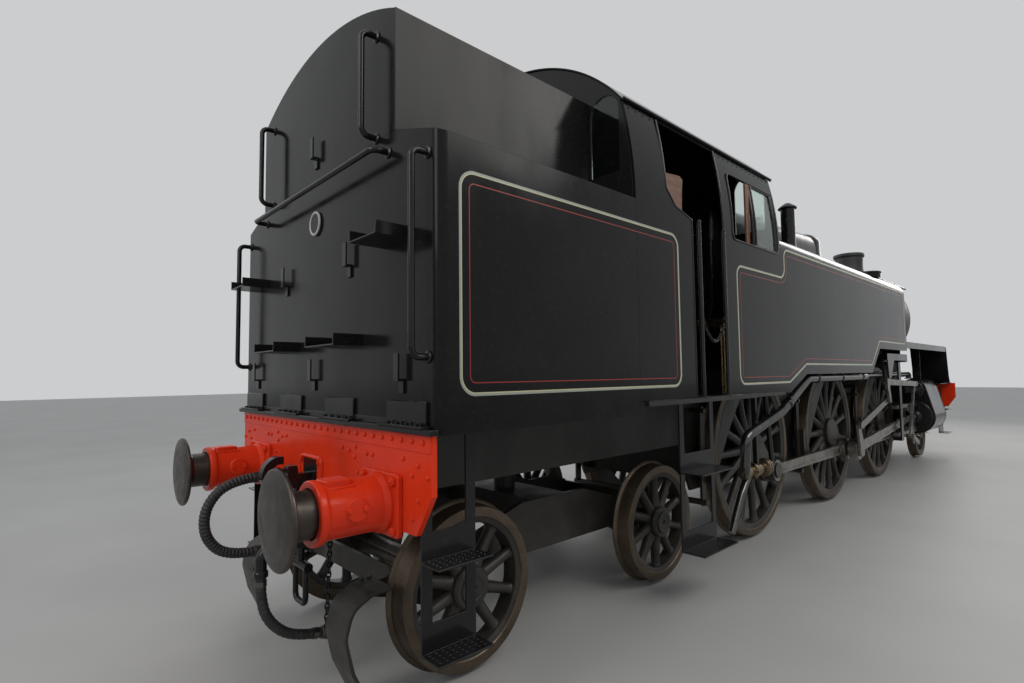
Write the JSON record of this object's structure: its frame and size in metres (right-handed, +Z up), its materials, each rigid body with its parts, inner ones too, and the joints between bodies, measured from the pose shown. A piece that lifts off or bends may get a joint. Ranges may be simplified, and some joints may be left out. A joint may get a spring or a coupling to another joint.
{
  "type": "steam tank locomotive",
  "caption": "Black side-tank steam locomotive with coupled spoked wheels, outside cylinders and valve gear, cab, coal bunker and red buffer beams.",
  "frame": {"origin": "midway between the buffer faces on the centre line, at the height of the wheel flanges' lowest points", "axes": "+X forwards towards the chimney, +Y to the engine's left, +Z up; rail top is 28 mm above the origin"},
  "size_m": [13.662, 2.74, 4.1759],
  "materials": {
    "black_paint": "gloss",
    "beam_red": "gloss",
    "bright_steel": "satin",
    "dark_iron": "satin",
    "smoke_black": "matte",
    "oiled_black": "satin",
    "pane": "gloss",
    "hose_rubber": "matte",
    "pipe_metal": "gloss",
    "control_brass": "satin"
  },
  "bodies": {
    "engine": {"main_frames": "oiled_black", "axleboxes": "oiled_black", "buffer_beams": "beam_red", "buffer_stocks": "beam_red", "buffer_heads": "dark_iron", "drawgear": "dark_iron", "bunker_tank": "black_paint", "coal_bunker": "black_paint", "cab_side_left": "black_paint", "cab_side_right": "black_paint", "cab_rear_plate": "black_paint", "cab_roof": "black_paint", "cab_floor": "black_paint", "cab_front_plate": "black_paint", "cab_glass": "pane", "footplate_controls": "control_brass", "firebox": "black_paint", "boiler_barrel": "black_paint", "smokebox": "smoke_black", "smokebox_saddle": "black_paint", "chimney": "smoke_black", "dome": "black_paint", "boiler_fittings": "control_brass", "side_tank_left": "black_paint", "side_tank_right": "black_paint", "running_plates": "black_paint", "front_platform": "black_paint", "cylinders": "black_paint", "slidebars": "bright_steel", "motion_brackets": "black_paint", "valve_gear_left": "bright_steel", "valve_gear_right": "bright_steel", "brake_gear": "oiled_black", "ashpan": "oiled_black", "footsteps": "black_paint", "bunker_fittings": "black_paint", "handrails": "black_paint", "feed_pipe": "pipe_metal", "pipework": "pipe_metal", "vacuum_hose": "hose_rubber", "steam_heat_hose": "hose_rubber"},
    "driver_1": {"driver_wheelset_1": "black_paint"},
    "driver_2": {"driver_wheelset_2": "black_paint"},
    "driver_3": {"driver_wheelset_3": "black_paint"},
    "coupling_rod_left": {"coupling_rod_left": "bright_steel"},
    "coupling_rod_right": {"coupling_rod_right": "bright_steel"},
    "crosshead_left": {"crosshead_left": "bright_steel"},
    "crosshead_right": {"crosshead_right": "bright_steel"},
    "connecting_rod_left": {"connecting_rod_left": "bright_steel"},
    "connecting_rod_right": {"connecting_rod_right": "bright_steel"},
    "pony": {"pony_truck": "oiled_black"},
    "pony_axle": {"pony_wheelset": "black_paint"},
    "bogie": {"bogie_frame": "oiled_black"},
    "bogie_axle_front": {"bogie_wheelset_front": "black_paint"},
    "bogie_axle_rear": {"bogie_wheelset_rear": "black_paint"},
    "smokebox_door": {"smokebox_door": "smoke_black"},
    "tank_lid_left": {"tank_lid_left": "black_paint"},
    "tank_lid_right": {"tank_lid_right": "black_paint"}
  },
  "joints": [
    {"name": "driver_2_spin", "type": "hinge", "parent": "engine", "child": "driver_2", "pos_m": [0.407, 0, 0.8916], "axis": [0, 1, 0], "continuous": true},
    {"name": "driver_1_spin", "type": "hinge", "parent": "engine", "child": "driver_1", "pos_m": [2.744, 0, 0.8916], "axis": [0, 1, 0], "continuous": true},
    {"name": "driver_3_spin", "type": "hinge", "parent": "engine", "child": "driver_3", "pos_m": [-1.93, 0, 0.8916], "axis": [0, 1, 0], "continuous": true},
    {"name": "coupling_rod_left_turn", "type": "hinge", "parent": "driver_2", "child": "coupling_rod_left", "pos_m": [0.63889, 0.9025, 1.16119], "axis": [0, 1, 0], "continuous": true},
    {"name": "coupling_rod_right_turn", "type": "hinge", "parent": "driver_2", "child": "coupling_rod_right", "pos_m": [0.67659, -0.9025, 0.65971], "axis": [0, 1, 0], "continuous": true},
    {"name": "crosshead_left_slide", "type": "slide", "parent": "engine", "child": "crosshead_left", "axis": [1, 0, 0], "range_m": [-0.57534, 0.13586]},
    {"name": "connecting_rod_left_tilt", "type": "hinge", "parent": "crosshead_left", "child": "connecting_rod_left", "pos_m": [3.62374, 1.03, 0.8916], "axis": [0, 1, 0], "range_deg": [-11.97, 1.65]},
    {"name": "crosshead_right_slide", "type": "slide", "parent": "engine", "child": "crosshead_right", "axis": [1, 0, 0], "range_m": [-0.61621, 0.09499]},
    {"name": "connecting_rod_right_tilt", "type": "hinge", "parent": "crosshead_right", "child": "connecting_rod_right", "pos_m": [3.66461, -1.03, 0.8916], "axis": [0, 1, 0], "range_deg": [-2.38, 11.25]},
    {"name": "pony_swivel", "type": "hinge", "parent": "engine", "child": "pony", "pos_m": [3.96, 0, 0.485], "axis": [0, 0, 1], "range_deg": [-3, 3]},
    {"name": "pony_spin", "type": "hinge", "parent": "pony", "child": "pony_axle", "pos_m": [5.538, 0, 0.485], "axis": [0, 1, 0], "continuous": true},
    {"name": "bogie_swivel", "type": "hinge", "parent": "engine", "child": "bogie", "pos_m": [-4.6985, 0, 0.655], "axis": [0, 0, 1], "range_deg": [-3, 3]},
    {"name": "bogie_front_spin", "type": "hinge", "parent": "bogie", "child": "bogie_axle_front", "pos_m": [-3.708, 0, 0.485], "axis": [0, 1, 0], "continuous": true},
    {"name": "bogie_rear_spin", "type": "hinge", "parent": "bogie", "child": "bogie_axle_rear", "pos_m": [-5.689, 0, 0.485], "axis": [0, 1, 0], "continuous": true},
    {"name": "smokebox_door_swing", "type": "hinge", "parent": "engine", "child": "smokebox_door", "pos_m": [5.288, 0.72, 2.708], "axis": [0, 0, 1], "range_deg": [0, 110]},
    {"name": "tank_lid_left_lift", "type": "hinge", "parent": "engine", "child": "tank_lid_left", "pos_m": [1.35, 0.909, 3.096], "axis": [1, 0, 0], "range_deg": [0, 105]},
    {"name": "tank_lid_right_lift", "type": "hinge", "parent": "engine", "child": "tank_lid_right", "pos_m": [1.35, -0.909, 3.096], "axis": [-1, 0, 0], "range_deg": [0, 105]}
  ],
  "couplings": [
    {"joint": "driver_1_spin", "follows": "driver_2_spin", "ratio": 1},
    {"joint": "driver_3_spin", "follows": "driver_2_spin", "ratio": 1},
    {"joint": "coupling_rod_left_turn", "follows": "driver_2_spin", "ratio": -1},
    {"joint": "coupling_rod_right_turn", "follows": "driver_2_spin", "ratio": -1}
  ]
}
